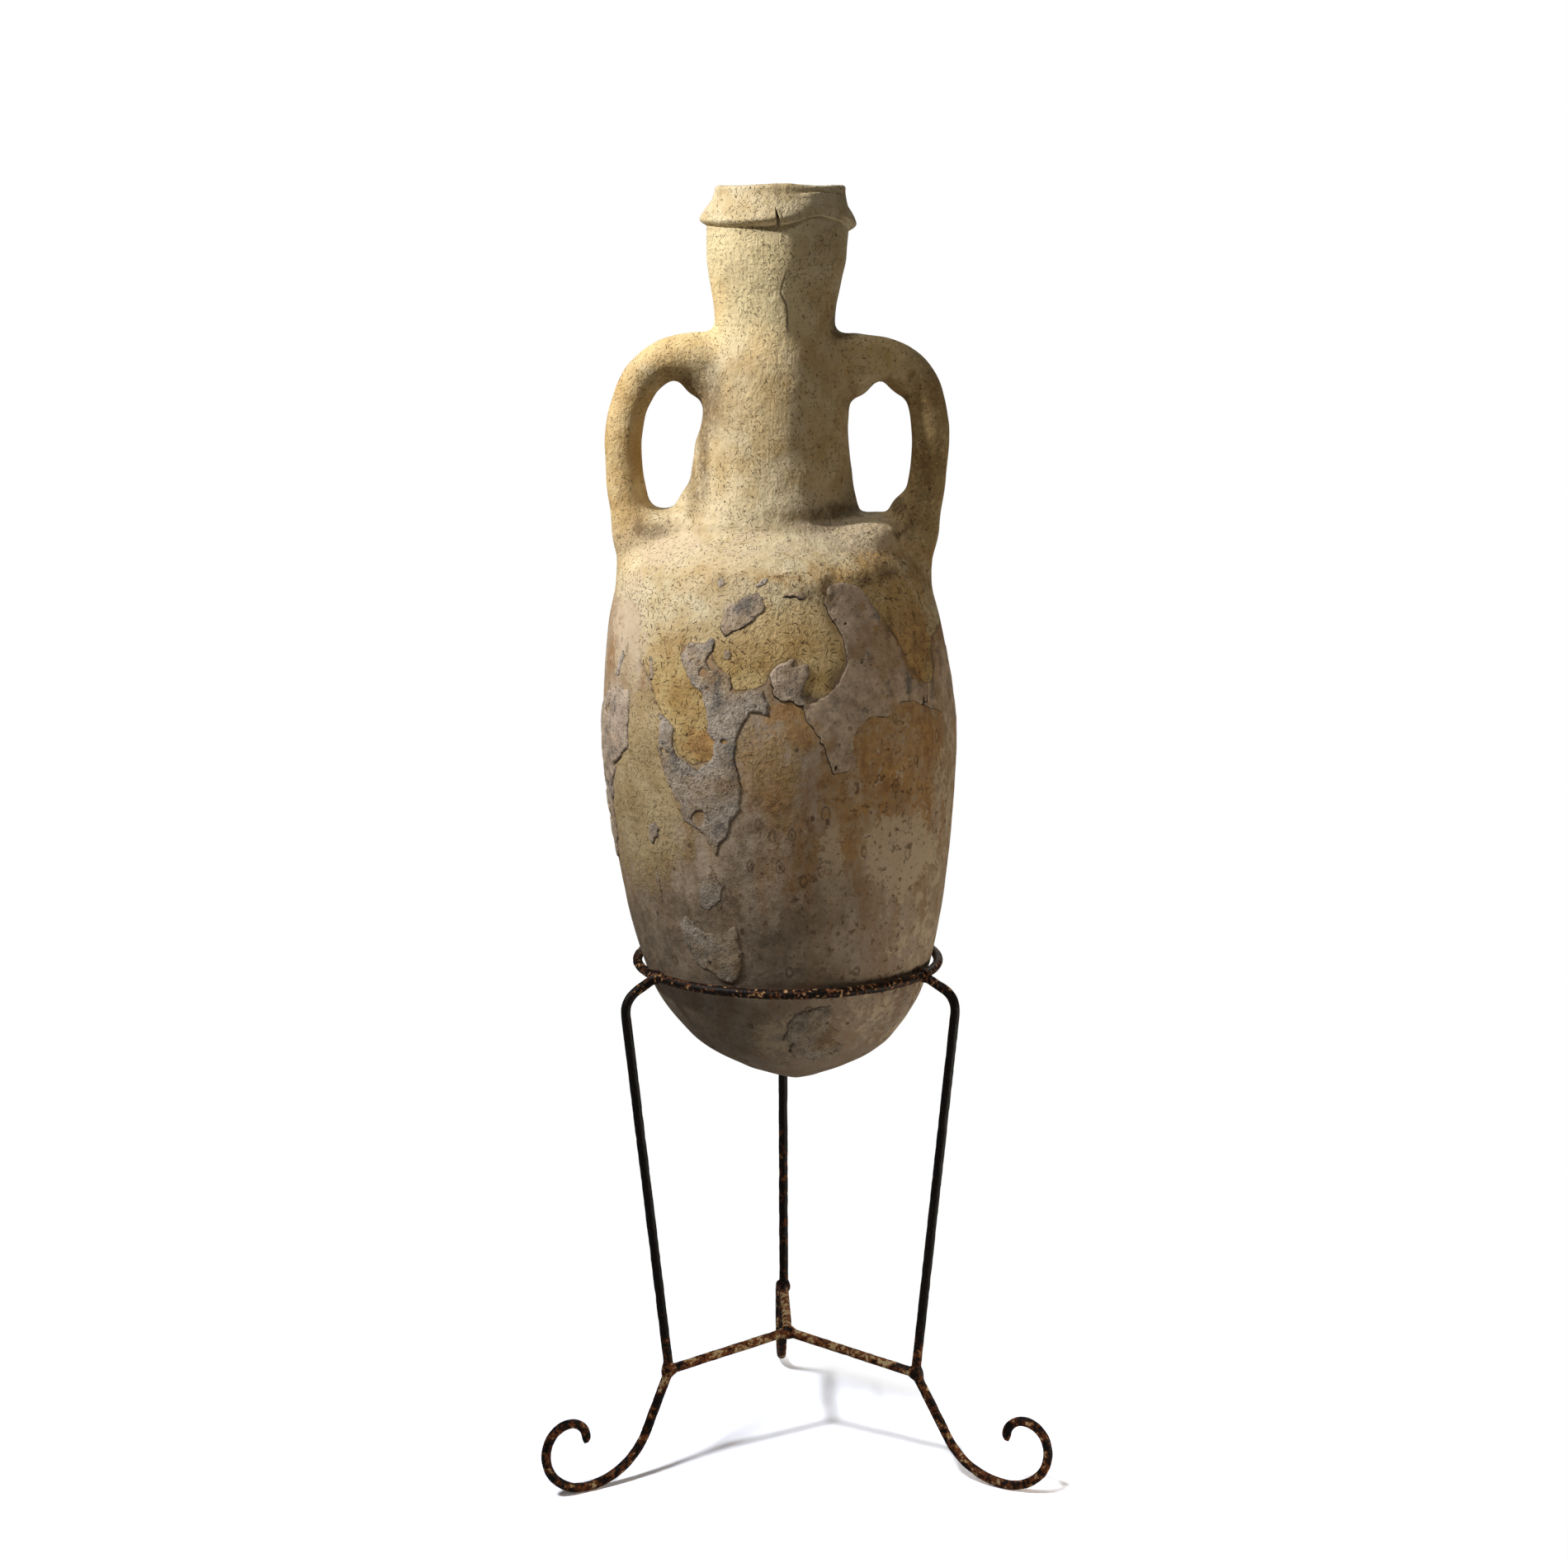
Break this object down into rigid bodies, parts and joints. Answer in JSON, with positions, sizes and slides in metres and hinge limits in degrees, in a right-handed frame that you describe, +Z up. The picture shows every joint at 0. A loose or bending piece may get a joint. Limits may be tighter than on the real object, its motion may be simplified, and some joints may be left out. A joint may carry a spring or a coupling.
{
  "type": "amphora in an iron stand",
  "caption": "Tall round-toed clay jar with a cylindrical neck and loop handles, lifting out of the ring of a scroll-footed iron stand.",
  "frame": {"origin": "on the floor, under the middle of the whole outline, stand feet included; the jar's axis stands about 64 mm in front of it and 9 mm to its left", "axes": "+Z up, the front is -Y, the two handles lie along X, the third foot of the tripod points to +Y"},
  "size_m": [0.4926, 0.473, 1.247],
  "materials": {
    "belly_clay": "unglazed, worn, brown-buff with grey lime crust",
    "neck_clay": "unglazed buff clay, pitted and marked by burnt-out chaff",
    "black_iron": "old black paint, chipped to a cream undercoat and rust",
    "weld_iron": "lumpy weld bead, rusty under worn black paint"
  },
  "bodies": {
    "stand": {"stand_ring": "black_iron", "left_leg": "black_iron", "right_leg": "black_iron", "rear_leg": "black_iron", "left_brace": "black_iron", "right_brace": "black_iron", "rear_brace": "black_iron", "left_ring_weld": "weld_iron", "right_ring_weld": "weld_iron", "rear_ring_weld": "weld_iron", "left_brace_weld": "weld_iron", "right_brace_weld": "weld_iron", "rear_brace_weld": "weld_iron", "hub_weld": "weld_iron"},
    "amphora": {"belly": "belly_clay", "neck": "neck_clay", "rim_collar": "neck_clay", "left_handle": "neck_clay", "right_handle": "neck_clay"}
  },
  "joints": [
    {"name": "amphora_lift", "type": "slide", "parent": "stand", "child": "amphora", "axis": [0, 0, 1], "range_m": [0, 0.2]}
  ]
}
